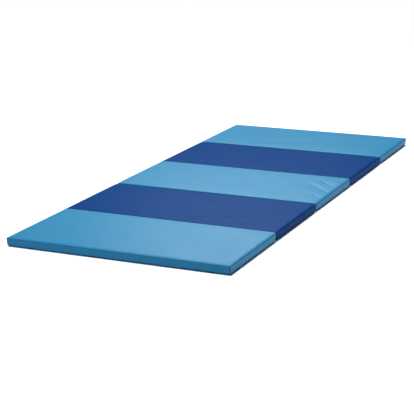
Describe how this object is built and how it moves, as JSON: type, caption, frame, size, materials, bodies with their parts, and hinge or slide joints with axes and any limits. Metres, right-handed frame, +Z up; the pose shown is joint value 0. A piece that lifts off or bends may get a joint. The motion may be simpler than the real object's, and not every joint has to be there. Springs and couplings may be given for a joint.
{
  "type": "folding landing mat",
  "caption": "Thin folding floor mat for gymnastics: foam panels in two-tone coated-cloth covers, joined by cloth hinges so that they close into a zigzag stack.",
  "frame": {"origin": "centre of the footprint, on the floor, with the mat laid flat", "axes": "+Y along the mat from the first panel to the last, +X across it, +Z up"},
  "size_m": [0.78, 1.85, 0.032],
  "materials": {
    "light_cover": "coated cloth, satin",
    "dark_cover": "coated cloth, satin",
    "firm_foam": "closed-cell foam, matt",
    "soft_foam": "open-cell foam, matt",
    "hinge_tape": "coated cloth, satin"
  },
  "bodies": {
    "panel_1": {"panel_1_top_sheet": "light_cover", "panel_1_bottom_sheet": "light_cover", "panel_1_left_side_strip": "light_cover", "panel_1_right_side_strip": "light_cover", "panel_1_front_end_strip": "light_cover", "panel_1_rear_end_strip": "light_cover", "panel_1_firm_foam": "firm_foam", "panel_1_soft_foam": "soft_foam", "hinge_tape_1_2": "hinge_tape"},
    "panel_2": {"panel_2_top_sheet": "dark_cover", "panel_2_bottom_sheet": "dark_cover", "panel_2_left_side_strip": "dark_cover", "panel_2_right_side_strip": "dark_cover", "panel_2_front_end_strip": "dark_cover", "panel_2_rear_end_strip": "dark_cover", "panel_2_firm_foam": "firm_foam", "panel_2_soft_foam": "soft_foam", "hinge_tape_2_3": "hinge_tape"},
    "panel_3": {"panel_3_top_sheet": "light_cover", "panel_3_bottom_sheet": "light_cover", "panel_3_left_side_strip": "light_cover", "panel_3_right_side_strip": "light_cover", "panel_3_front_end_strip": "light_cover", "panel_3_rear_end_strip": "light_cover", "panel_3_firm_foam": "firm_foam", "panel_3_soft_foam": "soft_foam", "hinge_tape_3_4": "hinge_tape"},
    "panel_4": {"panel_4_top_sheet": "dark_cover", "panel_4_bottom_sheet": "dark_cover", "panel_4_left_side_strip": "dark_cover", "panel_4_right_side_strip": "dark_cover", "panel_4_front_end_strip": "dark_cover", "panel_4_rear_end_strip": "dark_cover", "panel_4_firm_foam": "firm_foam", "panel_4_soft_foam": "soft_foam", "hinge_tape_4_5": "hinge_tape"},
    "panel_5": {"panel_5_top_sheet": "light_cover", "panel_5_bottom_sheet": "light_cover", "panel_5_left_side_strip": "light_cover", "panel_5_right_side_strip": "light_cover", "panel_5_front_end_strip": "light_cover", "panel_5_rear_end_strip": "light_cover", "panel_5_firm_foam": "firm_foam", "panel_5_soft_foam": "soft_foam"}
  },
  "joints": [
    {"name": "fold_1_2", "type": "hinge", "parent": "panel_1", "child": "panel_2", "pos_m": [0, -0.5559, 0.0325], "axis": [1, 0, 0], "range_deg": [0, 180], "deforming": ["hinge_tape_1_2"]},
    {"name": "fold_2_3", "type": "hinge", "parent": "panel_2", "child": "panel_3", "pos_m": [0, -0.1853, -0.0005], "axis": [1, 0, 0], "range_deg": [-180, 0], "deforming": ["hinge_tape_2_3"]},
    {"name": "fold_3_4", "type": "hinge", "parent": "panel_3", "child": "panel_4", "pos_m": [0, 0.1853, 0.0325], "axis": [1, 0, 0], "range_deg": [0, 180], "deforming": ["hinge_tape_3_4"]},
    {"name": "fold_4_5", "type": "hinge", "parent": "panel_4", "child": "panel_5", "pos_m": [0, 0.5559, -0.0005], "axis": [1, 0, 0], "range_deg": [-180, 0], "deforming": ["hinge_tape_4_5"]}
  ],
  "couplings": [
    {"joint": "fold_2_3", "follows": "fold_1_2", "ratio": -1},
    {"joint": "fold_4_5", "follows": "fold_3_4", "ratio": -1}
  ]
}
